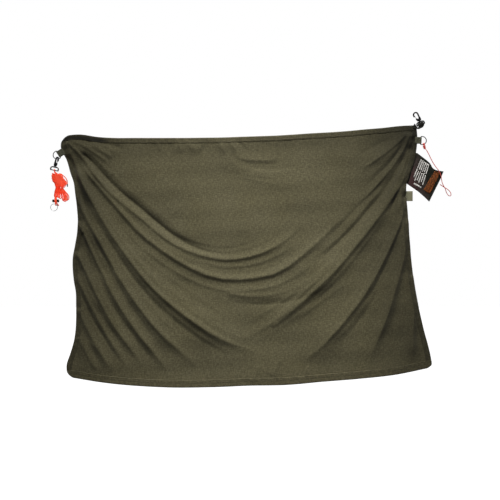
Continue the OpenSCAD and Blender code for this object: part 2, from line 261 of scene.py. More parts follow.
def knit_material(name, base, dark, light, painted_shade_color=(0.012, 0.011, 0.006, 1)):
    """Knitted mesh: staggered rows of small holes, with painted shade from the per-vertex shade attribute mixed towards
    a near-black colour. UV is in metres.
    """
    m = Mat(name, base, rough=0.85, spec=0.25)
    m.b.inputs["Sheen Weight"].default_value = 0.15
    m.b.inputs["Sheen Roughness"].default_value = 0.5
    sep = m.n("ShaderNodeSeparateXYZ")
    m.l(m.coords(), sep.inputs[0])
    pitch = 0.0052
    x = m.math("MULTIPLY", sep.outputs[0], math.pi / pitch)
    y = m.math("MULTIPLY", sep.outputs[1], math.pi / pitch)
    holes = m.math("MULTIPLY", m.math("SINE", m.math("ADD", x, y)), m.math("SINE", m.math("SUBTRACT", x, y)))
    hole = m.ramp(holes, [(0.0, (0, 0, 0, 1)), (0.30, (0, 0, 0, 1)), (0.62, (1, 1, 1, 1)), (1.0, (1, 1, 1, 1))])
    shade = m.noise(m.coords(), 5, 3, 0.6)
    grain = m.noise(m.coords(), 260, 2, 0.6)
    slubs = []
    for su, sv in ((60, 260), (260, 60), (120, 200)):
        v = m.n("ShaderNodeCombineXYZ")
        m.l(m.math("MULTIPLY", sep.outputs[0], su), v.inputs[0])
        m.l(m.math("MULTIPLY", sep.outputs[1], sv), v.inputs[1])
        slubs.append(m.noise(v.outputs[0], 1, 1, 0.5))
    slub = m.math("ADD", m.math("ADD", slubs[0], slubs[1]), slubs[2])
    slub = m.math("MULTIPLY_ADD", slub, 1.5, -1.75)
    c = m.mix(m.math("MULTIPLY", shade, 0.9), base, light)
    c = m.mix(m.math("MULTIPLY", grain, 0.42), c, dark)
    c = m.mix(m.math("MULTIPLY", m.math("MAXIMUM", slub, 0.0), 0.5), c, dark)
    c = m.mix(m.math("MULTIPLY", m.math("MAXIMUM", m.math("SUBTRACT", 0.5, slub), 0.0), 0.45), c, light)
    c = m.mix(m.math("MULTIPLY", hole, 0.42), c, dark)
    # painted shade: the per-vertex shade attribute darkens the cloth towards a near-black colour at its edges, corners
    # and down-facing flanks
    c = m.mix(m.n("ShaderNodeAttribute", attribute_name="painted_shade").outputs["Fac"], c, painted_shade_color)
    m.color(c)
    m.bump(m.math("SUBTRACT", grain, hole), 0.35, 0.0008)
    return m.m


def web_material(name, base, light, pitch=0.0022):
    m = Mat(name, base, rough=0.8, spec=0.3)
    sep = m.n("ShaderNodeSeparateXYZ")
    m.l(m.coords(), sep.inputs[0])
    x = m.math("SINE", m.math("MULTIPLY", sep.outputs[0], 2 * math.pi / pitch))
    y = m.math("SINE", m.math("MULTIPLY", sep.outputs[1], 2 * math.pi / (pitch * 1.3)))
    w = m.math("MULTIPLY_ADD", m.math("MULTIPLY", x, y), 0.5, 0.5)
    c = m.mix(w, base, light)
    m.color(m.mix(m.math("MULTIPLY", m.noise(m.coords(), 180), 0.4), c, base))
    m.bump(w, 0.5, 0.0006)
    return m.m


def cord_material(name, base, dark, light, painted_glow, strength):
    """Braided cover: two sets of strands that cross, in a dyed colour with painted shade between the strands, plus a
    painted glow (emission) that brightens the whole cord as painted light.
    """
    m = Mat(name, base, rough=0.6, spec=0.35)
    m.b.inputs["Emission Color"].default_value = painted_glow
    m.b.inputs["Emission Strength"].default_value = strength
    sep = m.n("ShaderNodeSeparateXYZ")
    m.l(m.coords(), sep.inputs[0])
    u = m.math("MULTIPLY", sep.outputs[0], 8 * math.pi)
    v = m.math("MULTIPLY", sep.outputs[1], 5 * math.pi)
    w = m.math("MULTIPLY", m.math("SINE", m.math("ADD", u, v)), m.math("SINE", m.math("SUBTRACT", u, v)))
    w = m.math("MULTIPLY_ADD", w, 0.5, 0.5)
    # braid pattern of crossing strands, painted darker between them as painted shade
    c = m.mix(w, dark, base)
    c = m.mix(m.math("MULTIPLY", m.noise(m.coords("Object"), 90), 0.5), c, light)
    m.color(c)
    m.bump(w, 0.5, 0.0006)
    return m.m


def cloth_material(name, base, other, scale=500):
    m = Mat(name, base, rough=0.8, spec=0.25)
    a = m.noise(m.coords("Object"), scale, 3, 0.6)
    m.color(m.mix(a, base, other))
    m.bump(a, 0.3, 0.0006)
    return m.m


def plain(name, color, rough, metal=0.0, spec=0.5, wear=None, scale=300):
    m = Mat(name, color, rough, metal, spec)
    a = m.noise(m.coords("Object"), scale, 3, 0.6)
    if wear:
        m.color(m.mix(a, color, wear))
    m.bump(a, 0.12, 0.0003)
    return m.m


M_KNIT = knit_material("knitted mesh", rgb(108, 101, 67), rgb(52, 48, 34), rgb(124, 118, 90))
M_HEM = knit_material("hem mesh", rgb(104, 97, 63), rgb(48, 44, 31), rgb(119, 113, 86))
M_THREAD = plain("hem thread", rgb(60, 57, 42), 0.7)
M_WEB = web_material("webbing", rgb(82, 82, 64), rgb(112, 112, 92))
M_WEB_DARK = web_material("dark webbing", rgb(24, 24, 18), rgb(36, 35, 27))
M_WEB_LIGHT = web_material("light webbing", rgb(128, 125, 98), rgb(158, 155, 128))
M_RING = plain("ring steel", rgb(82, 80, 83), 0.4, 0.7, 0.4, rgb(58, 57, 60))
M_PEG = plain("peg ring steel", rgb(205, 205, 208), 0.22, 1.0, 0.5)
M_PIN = plain("pin steel", rgb(180, 180, 182), 0.3, 1.0, 0.5)
M_HOOK = plain("hook plastic", rgb(20, 20, 22), 0.6, 0.0, 0.2, rgb(28, 28, 30))
M_GATE = plain("gate plastic", rgb(205, 205, 205), 0.35, 0.0, 0.5, rgb(225, 225, 225))
M_RUN = plain("runner plastic", rgb(48, 30, 24), 0.45, 0.0, 0.5, rgb(70, 48, 36))
# painted light: the guy line and the tie cord glow a little by emission, which brightens them, and are painted darker
# between their strands
M_LINE = cord_material("guy line", rgb(255, 100, 62), rgb(226, 52, 30), rgb(255, 126, 84), (1.0, 0.07, 0.025, 1), 0.32)
M_END = plain("taped cord end", rgb(58, 50, 34), 0.6, 0.0, 0.4, rgb(40, 36, 26))
M_TIE = cord_material("tie cord", rgb(224, 92, 84), rgb(190, 52, 46), rgb(236, 126, 116), (1.0, 0.08, 0.06, 1), 0.1)
m = Mat("pouch cloth", rgb(62, 56, 50), 0.8, 0, 0.25)
sep_ = m.n("ShaderNodeSeparateXYZ")
m.l(m.coords("Object"), sep_.inputs[0])
weave = m.noise(m.coords("Object"), 500, 3, 0.6)
cloud = m.noise(m.coords("Object"), 45, 2, 0.5)
# reddish purple at the lower left, greenish black towards the lower right
diag = m.math("ADD", m.math("MULTIPLY_ADD", sep_.outputs[0], 12.0, -7.615), m.math("MULTIPLY", sep_.outputs[2], 2.5))
diag = m.math("ADD", diag, m.math("MULTIPLY_ADD", cloud, 0.5, -0.25))
tone = m.ramp(diag, [(0.0, rgb(88, 58, 58)), (0.18, rgb(78, 64, 60)), (0.5, rgb(66, 58, 52)), (0.72, rgb(28, 34, 22))])
m.color(m.mix(m.math("MULTIPLY", weave, 0.6), tone, rgb(38, 36, 31)))
m.bump(weave, 0.3, 0.0006)
M_POUCH = m.m
M_POUCH_HEM = cloth_material("pouch hem", rgb(34, 38, 30), rgb(26, 26, 22))
M_PRINT = cloth_material("pale print", rgb(250, 247, 240), rgb(232, 228, 220))
M_SEAM = cloth_material("pouch seam", rgb(52, 48, 40), rgb(36, 34, 28))

# ---------------------------------------------------------------- the hanging sheet
TOP = [(-770, 2), (-697, 8), (-624, -2), (-551, -6), (-478, -6), (-405, -6), (-333, -6), (-260, -6),
       (-187, -5), (-114, -4), (-41, -1.4), (32, 1.1), (105, 3.6), (178, 8), (250, 13), (323, 17),
       (396, 22), (469, 29), (542, 35), (615, 43), (681.5, 46)]
BOTTOM = [(-748, -986), (-598, -1010), (-449, -1024), (-299, -1030), (-150, -1028), (0, -1022),
          (150, -1019), (299, -1006), (449, -994), (598, -977), (748, -946)]
LEFT = [(-770, 2), (-775, -47), (-752, -97), (-737, -147), (-720, -196), (-713, -245), (-708, -294),
        (-705, -344), (-708, -393), (-717, -443), (-726, -492), (-727, -541), (-722, -591),
        (-714, -640), (-713, -690), (-713, -739), (-715, -788), (-722, -838), (-736, -887),
        (-752, -937), (-748, -986)]
RIGHT = [(681.5, 46), (686, -2), (683, -51), (673, -101), (656, -151), (641, -201), (640, -250),
         (645, -300), (648, -350), (651, -400), (656, -449), (660, -499), (666, -549), (672, -598),
         (681, -648), (691, -698), (702, -747), (714, -797), (728, -847), (740, -897), (748, -946)]
EDGE = [smooth(np.array(e, float) / 1000, 401) for e in (TOP, BOTTOM, LEFT, RIGHT)]
CORNERS = [((-0.770, 0.002), 1, -1, 0.030), ((-0.748, -0.986), 1, 1, 0.024), ((0.748, -0.946), -1, 1, 0.022)]


def along(e, t):
    s = np.linspace(0, 1, len(e))
    return np.stack([np.interp(t, s, e[:, 0]), np.interp(t, s, e[:, 1])], -1)


def patch(edges, u, v):
    """Point of the sheet before folding: u from left to right, v from top to bottom."""
    t, b, l, r = edges
    u, v = np.broadcast_arrays(np.asarray(u, float), np.asarray(v, float))
    U, V = u[..., None], v[..., None]
    return (along(t, u) * (1 - V) + along(b, u) * V + along(l, v) * (1 - U) + along(r, v) * U
            - t[0] * (1 - U) * (1 - V) - t[-1] * U * (1 - V) - b[0] * (1 - U) * V - b[-1] * U * V)


def flat(u, v):
    p = patch(EDGE, u, v)
    for (cx, cz), sx, sz, r in CORNERS:
        a = 1 - (p[..., 0] - cx) * sx / r
        b = 1 - (p[..., 1] - cz) * sz / r
        m = (a > 0) & (b > 0)
        a, b = np.clip(a, 0, 1.25), np.clip(b, 0, 1.25)
        na, nb = a * np.sqrt(np.maximum(0.1, 1 - b * b / 2)), b * np.sqrt(np.maximum(0.1, 1 - a * a / 2))
        p[..., 0] = np.where(m, cx + (1 - na) * r * sx, p[..., 0])
        p[..., 1] = np.where(m, cz + (1 - nb) * r * sz, p[..., 1])
    return p


FOLDS = []
STRENGTH = 0.78


def fold(points, high, wide, ends=(0.05, 0.3), children=True):
    """A ridge towards the viewer (high > 0) or a valley, along a line of points in millimetres."""
    line = smooth(np.array(points, float) / 1000, 22)
    FOLDS.append((line, STRENGTH * high / 1000, wide / 1000, ends))
    if children:
        for side in (-1, 1, -1.9, 1.9):
            t = np.gradient(line, axis=0)
            t /= np.linalg.norm(t, axis=1)[:, None]
            n = np.stack([t[:, 1], -t[:, 0]], 1)
            off = side * rng.uniform(0.022, 0.038) * (0.35 + 0.65 * np.linspace(0, 1, 22))[:, None]
            wave = 0.004 * np.sin(np.linspace(0, rng.uniform(3, 7), 22) + rng.uniform(0, 6))[:, None]
            k = int(rng.integers(0, 6))
            FOLDS.append(((line + n * (off + wave))[k:22 - int(rng.integers(0, 6))],
                          rng.uniform(0.0008, 0.0022) * (1 if rng.random() < 0.6 else -1),
                          rng.uniform(0.006, 0.011), (0.3, 0.3)))


# left fan, from the top corner down to the right
fold([(-670, -110), (-600, -203), (-510, -283), (-440, -340), (-370, -400), (-290, -452), (-205, -484),
      (-120, -503), (-50, -501), (30, -484), (100, -453), (165, -408), (215, -352), (255, -305)], 10, 11)
fold([(-700, -60), (-655, -98), (-580, -180), (-520, -238), (-455, -290), (-385, -350), (-322, -402),
      (-260, -440), (-190, -468), (-110, -484), (-50, -483)], -12, 15)
fold([(-697, -107), (-656, -162), (-584, -245), (-512, -328), (-451, -394), (-379, -452), (-287, -514),
      (-184, -565), (-100, -584), (0, -582), (102, -562), (164, -526), (266, -442), (359, -350),
      (461, -238)], 12, 18)
fold([(-718, -117), (-680, -200), (-620, -310), (-560, -410), (-450, -560), (-350, -665), (-235, -755),
      (-115, -830), (0, -875), (90, -890)], 24, 32)
fold([(-735, -170), (-690, -290), (-615, -430), (-535, -575), (-452, -700), (-362, -808), (-265, -898),
      (-190, -965)], 21, 26)
fold([(-707, -342), (-650, -468), (-590, -590), (-527, -704), (-455, -808), (-383, -900), (-315, -985)], 17, 21)
fold([(-715, -465), (-668, -560), (-618, -664), (-567, -756), (-495, -860), (-425, -952)], 15, 17)
fold([(-712, -568), (-668, -662), (-618, -756), (-558, -860), (-488, -962)], 9, 14)
fold([(-707, -701), (-658, -806), (-598, -910), (-556, -975)], 9, 14)
fold([(-705, -820), (-660, -905), (-620, -975)], 6, 12)
fold([(-755, -70), (-722, -130), (-700, -210), (-680, -280), (-655, -350), (-610, -440)], -10, 13)
fold([(-690, -390), (-640, -500), (-575, -630)], -7, 13)
# right fan, from the top corner down to the left
fold([(650, -110), (630, -175), (555, -290), (490, -376), (402, -486), (318, -578), (215, -672),
      (110, -750), (0, -815), (-110, -860)], 18, 27, (0.05, 0.45))
fold([(665, -20), (625, -110), (553, -222), (490, -298), (402, -398), (310, -482), (205, -558)], -11, 24)
fold([(655, -200), (626, -322), (577, -442), (517, -562), (454, -668), (372, -772), (280, -872),
      (182, -952)], 20, 26)
fold([(650, -330), (628, -500), (598, -612), (558, -742), (518, -842), (483, -955)], 19, 24)
fold([(672, -560), (670, -700), (666, -830), (672, -955)], 15, 20)
fold([(648, -250), (616, -380), (570, -500), (508, -625), (440, -725)], -7, 15)
fold([(672, 0), (640, -150), (606, -240), (545, -340)], -7, 12)
fold([(676, -30), (648, -170), (622, -250), (575, -350)], 6, 10)
fold([(672, 25), (655, -40), (628, -120), (590, -205), (540, -290)], 8, 9)
fold([(660, 18), (630, -50), (585, -120), (520, -200), (440, -280)], 8, 10)
fold([(645, 14), (600, -30), (530, -85), (450, -140)], 6, 9)
fold([(668, -60), (650, -140), (632, -215), (610, -300), (580, -400)], 8, 9)
fold([(-762, -22), (-735, -70), (-705, -140), (-672, -215), (-630, -300)], 8, 9)
fold([(-755, -18), (-715, -55), (-670, -105), (-620, -170), (-560, -240)], 9, 9)
fold([(-745, -14), (-690, -35), (-625, -75), (-560, -125)], 6, 9)
# the rolled corner
fold([(-779, -26), (-768, -4), (-735, 4), (-690, 0), (-630, -6)], 9, 8, (0.25, 0.4), False)
# the middle and under the top hem
fold([(-512, -440), (-410, -560), (-307, -650), (-184, -742), (-61, -812), (60, -850)], 5, 26)
fold([(-102, -640), (0, -655), (130, -640), (240, -590), (330, -520)], 5, 22)
fold([(85, -785), (165, -724), (240, -660), (325, -588), (400, -484)], 4, 15)
fold([(-110, -62), (-45, -128), (75, -150), (165, -142), (220, -110)], 2.4, 17, (0.4, 0.4))
fold([(-60, -90), (0, -112), (110, -110), (180, -80)], -2, 14, (0.4, 0.4), False)
fold([(-646, -32), (-610, -52), (-560, -92)], 4, 10, children=False)
fold([(-630, -22), (-560, -38), (-500, -62)], -3, 10, children=False)
for x, a, b in ((-300, 22, 3.5), (-270, 55, 3.5), (-232, 70, -3), (-205, 5, 3.5), (-175, -8, -3),
                (-142, 45, 3.5), (-105, 72, 3), (-70, 80, -2.5), (-395, 40, 2), (-345, 20, -2)):
    fold([(x, -8), (x + a * 0.45, -38), (x + a, -70 - abs(a) * 0.2)], b, 9, (0.05, 0.5), False)
for x, z, a, b in ((40, -925, 60, 4), (130, -900, 90, 3), (-60, -960, 50, 3), (240, -930, 70, 3)):
    fold([(x, z), (x - a * 0.2, z - 40), (x - a * 0.5, z - 85)], b, 14, (0.3, 0.1), False)

WAVES = [(rng.normal(0, 1, 2) * 2 * math.pi / lam, rng.uniform(0, 6.3), amp)
         for lam, amp in ((0.32, 0.0009), (0.22, 0.0004), (0.12, 0.0001), (0.06, 0.00005), (0.03, 0.00003))
         for _ in range(3)]


# the cloth lies flat where something is sewn to it: x, z and reach in millimetres
FLAT_SPOTS = [(-764, -60, 15), (684, 42, 18), (680, -17, 15), (687, -68, 14), (676, -100, 14), (666, -130, 14),
              (656, -162, 14), (646, -194, 14), (640, -245, 16)]


def near_line(p, line):
    """Distance from the points p to a line, and how far along the line, 0 to 1, the nearest place is."""
    best = np.full(len(p), 1e9)
    where = np.zeros(len(p))
    seg = np.diff(line, axis=0)
    n = len(seg)
    for i in range(n):
        d = p - line[i]
        t = (d @ seg[i]) / (seg[i] @ seg[i])
        lo = 0 if i else -9
        hi = 1 if i < n - 1 else 9
        tc = np.clip(t, max(lo, 0), min(hi, 1))
        r = np.linalg.norm(d - tc[:, None] * seg[i], axis=1)
        m = r < best
        best[m] = r[m]
        where[m] = (i + tc[m]) / n
    return best, where


def smoothstep(x):
    x = np.clip(x, 0, 1)
    return x * x * (3 - 2 * x)


def depth(u, v, p):
    """How far the cloth lies behind the plane of the corners, in metres."""
    shape = p.shape[:-1]
    q = p.reshape(-1, 2)
    y = np.zeros(len(q))
    for line, high, wide, (e0, e1) in FOLDS:
        lo, hi = line.min(0) - 8 * wide, line.max(0) + 8 * wide
        m = ((q >= lo) & (q <= hi)).all(1)
        if not m.any():
            continue
        r, s = near_line(q[m], line)
        fade = smoothstep(s / e0) * smoothstep((1 - s) / e1)
        soft = np.sqrt(r * r + 0.003 ** 2) - 0.003
        w = wide * (0.75 + 0.6 * s)
        y[m] -= high * fade * (0.55 * np.exp(-soft / (0.55 * w)) + 0.45 * np.exp(-soft / (1.6 * w)))
    for k, ph, amp in WAVES:
        y += amp * np.sin(q @ k + ph)
    y = y.reshape(shape)
    y = y - 0.001 * np.sin(np.pi * u) * np.sin(np.pi * 0.82 * v)
    for x, z, r in FLAT_SPOTS:
        y = y * (1 - 0.9 * np.exp(-((p[..., 0] - x / 1000) ** 2 + (p[..., 1] - z / 1000) ** 2) / (1.5 * r / 1000) ** 2))
    return y * (0.25 + 0.75 * smoothstep(v / 0.04)) * (0.75 + 0.25 * smoothstep((1 - v) / 0.1))


def cloth_points(u, v, dy=0.0):
    u, v = np.broadcast_arrays(np.asarray(u, float), np.asarray(v, float))
    p = flat(u, v)
    y = depth(u, v, p) + dy
    return np.stack([p[..., 0], y, p[..., 1]], -1)


NU, NV = ((300, 200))
uu, vv = np.meshgrid(np.linspace(0.004, 0.996, NU), np.linspace(0.006, 0.994, NV))
pts = cloth_points(uu, vv)


def painted_shade_amount(u, v, slope=0.0, tilt=0.0):
    """Painted shade for the cloth, 0 to 0.9: darker along the left edge, under the top hem, near the top right corner,
    down the right side (most near the bottom), and on flanks that face down or slope steeply.
    """
    left = 0.24 * (1 - smoothstep(u / 0.15))
    top = 0.20 * (1 - smoothstep(v / 0.16)) * smoothstep(u / 0.1)
    corner = 0.5 * np.exp(-np.hypot((1 - u) * 1.5, v) / 0.16)
    side = 0.34 * smoothstep((u - 0.80) / 0.16) * (0.45 + 0.55 * v)
    away = 0.55 * np.clip(-tilt / 0.55, 0, 1) + 0.22 * np.clip(slope / 0.8, 0, 1)
    return np.clip(left + top + corner + side + away, 0, 0.9)


# slopes of the folded sheet; they set the painted shade on flanks that face down or slope steeply
dz = np.gradient(pts[..., 2], axis=0)
dx = np.gradient(pts[..., 0], axis=1)
tilt = np.gradient(pts[..., 1], axis=0) / dz
slope = np.hypot(tilt, np.gradient(pts[..., 1], axis=1) / dx)
uvs = np.stack([uu * 1.524, vv * 1.016], -1).reshape(-1, 2)
panel = mesh_object("mesh_panel_cloth", pts.reshape(-1, 3), grid_faces(NU, NV)[:, ::-1], M_KNIT, uvs,
                    painted_shade=painted_shade_amount(uu, vv, slope, tilt))
thick = panel.modifiers.new("thick", "SOLIDIFY")
thick.thickness = 0.0012
thick.offset = 0
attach(panel, "sheet")
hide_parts("mesh_panel")


def hem(name, side, width, node, lo=0.0, hi=1.0, n=420, rows=(0.8,)):
    """A turned hem round one edge, with its rows of stitches."""
    n = n
    t = np.linspace(lo, hi, n)
    h = 0.0019
    prof = [(width + 0.0012, -0.0004), (width, -0.75 * h), (width * 0.86, -0.95 * h), (width * 0.7, -0.8 * h),
            (width * 0.45, -h), (width * 0.2, -1.05 * h), (0.0022, -h), (0.0007, -0.7 * h), (0.0, 0.0),
            (0.0007, 0.7 * h), (0.0022, h), (width * 0.2, 1.05 * h), (width * 0.45, h), (width * 0.7, 0.8 * h),
            (width * 0.86, 0.95 * h), (width, 0.75 * h), (width + 0.0012, 0.0004)]
    prof = np.array(prof + prof[:1])
    a, y = prof[:, 0], prof[:, 1]

    def at(tt, aa):
        if side == "top":
            return tt, aa / 0.99
        if side == "bottom":
            return tt, 1 - aa / 1.01
        if side == "left":
            return aa / 1.458, tt
        return 1 - aa / 1.458, tt

    T, A = np.meshgrid(t, a, indexing="ij")
    u, v = at(T, A)
    wob = 0.00035 * np.sin(T * 190 + 3 * np.sin(T * 23)) * (np.abs(y)[None] > 0.0006)
    p = cloth_points(u, v, y[None] + wob)
    length = 1.5 if side in ("top", "bottom") else 1.0
    uv = np.stack([T * length, A + (y[None] > 0) * 0.05], -1).reshape(-1, 2)
    w = len(prof)
    faces = [tuple(f) for f in grid_faces(w, n)]
    faces += [tuple(range(w - 1)), tuple((n - 1) * w + k for k in range(w - 2, -1, -1))]
    # painted shade for the hem: the same edge and corner shade as the sheet, darker still on the side hems, and at the
    # top left a painted shadow under the rolled corner, darkest in a band across the hem
    dark = painted_shade_amount(u, v) + 0.25 * (side in ("left", "right"))
    if side == "top":
        dark = dark + smoothstep((0.15 - u) / 0.05) * (0.45 + 0.6 * np.exp(-((A / width - 0.65) / 0.25) ** 2))
    ob = mesh_object(name, p.reshape(-1, 3), faces, M_HEM, uv, painted_shade=np.clip(dark, 0, 0.95))
    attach(ob, "sheet")
    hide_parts(node)
    # stitches, both faces, as one mesh
    count = int((hi - lo) * length / (0.0056))
    ts = np.linspace(lo + 0.01, hi - 0.01, count)
    V, F = [], []
    for row in rows:
        for face in (-1, 1):
            u0, v0 = at(ts - 0.0017 / length, np.full(count, row * width))
            u1, v1 = at(ts + 0.0017 / length, np.full(count, row * width))
            p0 = cloth_points(u0, v0, face * (h + 0.0001))
            p1 = cloth_points(u1, v1, face * (h + 0.0001))
            for q0, q1 in zip(p0, p1):
                d = (q1 - q0) / np.linalg.norm(q1 - q0)
                s = np.cross(d, (0, 1, 0))
                k = len(V)
                for f, rr in ((0, 0.4), (0.25, 1), (0.75, 1), (1, 0.4)):
                    c = q0 + (q1 - q0) * f
                    for g in range(6):
                        an = g * math.pi / 3
                        V.append(c + 0.00042 * rr * (math.cos(an) * s + math.sin(an) * np.array([0, 1, 0])))
                for i in range(3):
                    for g in range(6):
                        F.append((k + i * 6 + g, k + i * 6 + (g + 1) % 6, k + (i + 1) * 6 + (g + 1) % 6,
                                  k + (i + 1) * 6 + g))
                F.append(tuple(k + g for g in range(5, -1, -1)))
                F.append(tuple(k + 18 + g for g in range(6)))
    st = mesh_object(name + "_stitches", V, F, M_THREAD)
    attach(st, "sheet")
    return [ob, st]


hems = hem("top_hem_cloth", "top", 0.021, "top_hem", rows=(0.84,))
hems += hem("bottom_hem_cloth", "bottom", 0.030, "bottom_hem", rows=(0.62, 0.95))
hems += hem("left_hem_cloth", "left", 0.021, "left_hem", 0.018, 0.974, 320, rows=(0.84,))
hems += hem("right_hem_cloth", "right", 0.021, "right_hem", 0.018, 0.974, 320, rows=(0.84,))


# ---------------------------------------------------------------- webbing
def turn_y(deg, p):
    a = math.radians(deg)
    x, y, z = p
    return np.array([x * math.cos(a) + z * math.sin(a), y, -x * math.sin(a) + z * math.cos(a)])


def place(origin, deg, p):
    return (np.array(origin, float) + turn_y(deg, p)) / 1000


def box_stitch(name, origin, deg, x0, x1, z0, z1, y, body, mat=None):
    """Square of stitches with a cross, on the face at y (millimetres, local)."""
    legs = [((x0, z0), (x1, z0)), ((x1, z0), (x1, z1)), ((x1, z1), (x0, z1)), ((x0, z1), (x0, z0)),
            ((x0, z0), (x1, z1)), ((x0, z1), (x1, z0))]
    V, F = [], []
    for (ax, az), (bx, bz) in legs:
        n = max(2, int(math.hypot(bx - ax, bz - az) / 2.6))
        for i in range(n):
            f0, f1 = (i + 0.12) / n, (i + 0.86) / n
            p0 = place(origin, deg, (ax + (bx - ax) * f0, y, az + (bz - az) * f0))
            p1 = place(origin, deg, (ax + (bx - ax) * f1, y, az + (bz - az) * f1))
            d = (p1 - p0) / np.linalg.norm(p1 - p0)
            s = np.cross(d, (0, 1, 0))
            k = len(V)
            for c, rr in ((p0, 0.5), (p0 + (p1 - p0) * 0.3, 1), (p0 + (p1 - p0) * 0.7, 1), (p1, 0.5)):
                for g in range(6):
                    an = g * math.pi / 3
                    V.append(c + 0.0004 * rr * (math.cos(an) * s + math.sin(an) * np.array([0, 1, 0])))
            for j in range(3):
                for g in range(6):
                    F.append((k + j * 6 + g, k + j * 6 + (g + 1) % 6, k + (j + 1) * 6 + (g + 1) % 6,
                              k + (j + 1) * 6 + g))
            F += [tuple(k + g for g in range(5, -1, -1)), tuple(k + 18 + g for g in range(6))]
    ob = mesh_object(name, V, F, mat or M_THREAD)
    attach(ob, body)
    return ob


def bent(ri, length, n=14):
    """Path of webbing from the cloth out round a bar and back, in local x and y."""
    out = [(-length + length * k / 10, -ri) for k in range(10)]
    out += [(ri * math.sin(a), -ri * math.cos(a)) for a in np.linspace(0, math.pi, n)]
    return out + [(-length * k / 10, ri) for k in range(1, 11)]


for side, origin, deg in (("left", (-785, 0, -73), 148), ("right", (700, 0, -16.5), 3)):
    path = [place(origin, deg, (x, y, 0)) for x, y in bent(2.75, 24.6)]
    tab = strip(side + "_ring_tab_webbing", path, turn_y(deg, (0, 0, 1)), 0.0274, 0.0017, M_WEB)
    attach(tab, "sheet")
    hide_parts(side + "_ring_tab")
    box_stitch(side + "_ring_tab_stitches", origin, deg, -23, -6, -11.5, 11.5, -3.75, "sheet")

path = [(x / 1000 + 0.663, y / 1000, -0.2445) for x, y in bent(3.15, 32.5)]
loop = strip("side_loop_webbing", path, (0, 0, 1), 0.0406, 0.0017, M_WEB_LIGHT)
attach(loop, "sheet")
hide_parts("side_loop")
box_stitch("side_loop_stitches", (663, 0, -244.5), 0, -31, -19, -18, 18, -4.15, "sheet")


def join(name, objects):
    for o in bpy.context.view_layer.objects:
        o.select_set(o in objects)
    bpy.context.view_layer.objects.active = objects[0]
    bpy.ops.object.join()
    objects[0].name = name
    return objects[0]


def plate(name, outline, y0, t, mat, place_fn, bevel=0.0005):
    """A flat piece with an outline in local x and z, from y0 back by t, all in millimetres."""
    n = len(outline)
    V = [place_fn((x, y0, z)) for x, z in outline] + [place_fn((x, y0 + t, z)) for x, z in outline]
    area = sum(outline[i - 1][0] * outline[i][1] - outline[i][0] * outline[i - 1][1] for i in range(n))
    order = list(range(n)) if area > 0 else list(range(n - 1, -1, -1))
    F = [tuple(order), tuple(i + n for i in reversed(order))]
    F += [(order[i], order[i - 1], order[i - 1] + n, order[i] + n) for i in range(n)]
    uv = [(p[0] / 1000, p[1] / 1000) for p in outline] * 2
    ob = mesh_object(name, V, F, mat, uv, shade=False)
    if bevel:
        m = ob.modifiers.new("b", "BEVEL")
        m.width = bevel
        m.segments = 2
        bpy.context.view_layer.objects.active = ob
        bpy.ops.object.modifier_apply(modifier="b")
    return ob


HOOK_AT, HOOK_DEG = (695.5, 0, 62.3), -23
shape = [(-12, 0), (12, 0), (12, -5), (3, -12), (-14, -13), (-36, -2), (-33, 8), (-22.5, 15), (-20, 3), (-19, -4),
         (-12, -5)]
parts = []
for k, y in enumerate((2.25, -3.95)):
    parts.append(plate("tab_layer%d" % k, shape, y, 1.7, M_WEB_DARK,
                       lambda p: place(HOOK_AT, HOOK_DEG, (p[0], p[1], p[2] - 15.6))))
arc = [(-3.1, -4), (-3.1, -2), (-3.1, 0)] + [(-3.0 * math.cos(a), 9.5 * math.sin(a))
                                             for a in np.linspace(0.2, math.pi - 0.2, 15)]
arc += [(3.1, 0), (3.1, -2), (3.1, -4)]
parts.append(strip("tab_wrap", [place(HOOK_AT, HOOK_DEG, (0, y, z - 15.6)) for y, z in arc],
                   turn_y(HOOK_DEG, (1, 0, 0)), 0.0238, 0.0017, M_WEB_DARK))
tab = join("hook_tab_webbing", parts)
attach(tab, "sheet")
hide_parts("hook_tab")

# ---------------------------------------------------------------- pouch
A_, B_, C_, D_ = (687, -68), (794, -143), (736, -266), (646, -194)
P_EDGE = [smooth(np.array(e, float) / 1000, 101) for e in (
    [A_, (714, -89), (738, -109), (749, -128), (765, -138), B_],
    [D_, (668, -209), (691, -225), (710, -241), C_],
    [A_, (674, -110), (660, -152), D_],
    [B_, (781, -175), (758, -221), C_])]
PN, PM = 64, 56
pu, pv = np.meshgrid(np.linspace(0, 1, PN), np.linspace(0, 1, PM))
pp = patch(P_EDGE, pu, pv)
P_WAVES = [(rng.normal(0, 1, 2) * 2 * math.pi / lam, rng.uniform(0, 6.3), amp)
           for lam, amp in ((0.09, 0.0007), (0.06, 0.0006), (0.035, 0.0003), (0.022, 0.0002)) for _ in range(3)]


def pouch_face(front):
    hump = (np.sin(np.pi * pu) * np.sin(np.pi * pv)) ** 0.7
    y = np.zeros_like(pu)
    for k, ph, amp in P_WAVES:
        y += amp * np.sin(pp @ k + ph + (0 if front else 2))
    y = y * np.minimum(1, hump * 2.5)
    y = y - 0.0022 * hump if front else y + 0.0035 * hump
    return np.stack([pp[..., 0], y + (0.0040 if front else 0.0124), pp[..., 1]], -1)


def cloth_piece(name, pts, rows, cols, t, mat, flip, node=None, body="pouch"):
    ob = mesh_object(name, pts.reshape(-1, 3), grid_faces(cols, rows)[:, ::-1 if flip else 1], mat,
                     np.stack([pts[..., 0], pts[..., 2]], -1).reshape(-1, 2))
    m = ob.modifiers.new("thick", "SOLIDIFY")
    m.thickness, m.offset = t, 0
    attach(ob, body)
    if node:
        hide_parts(node)
    return ob


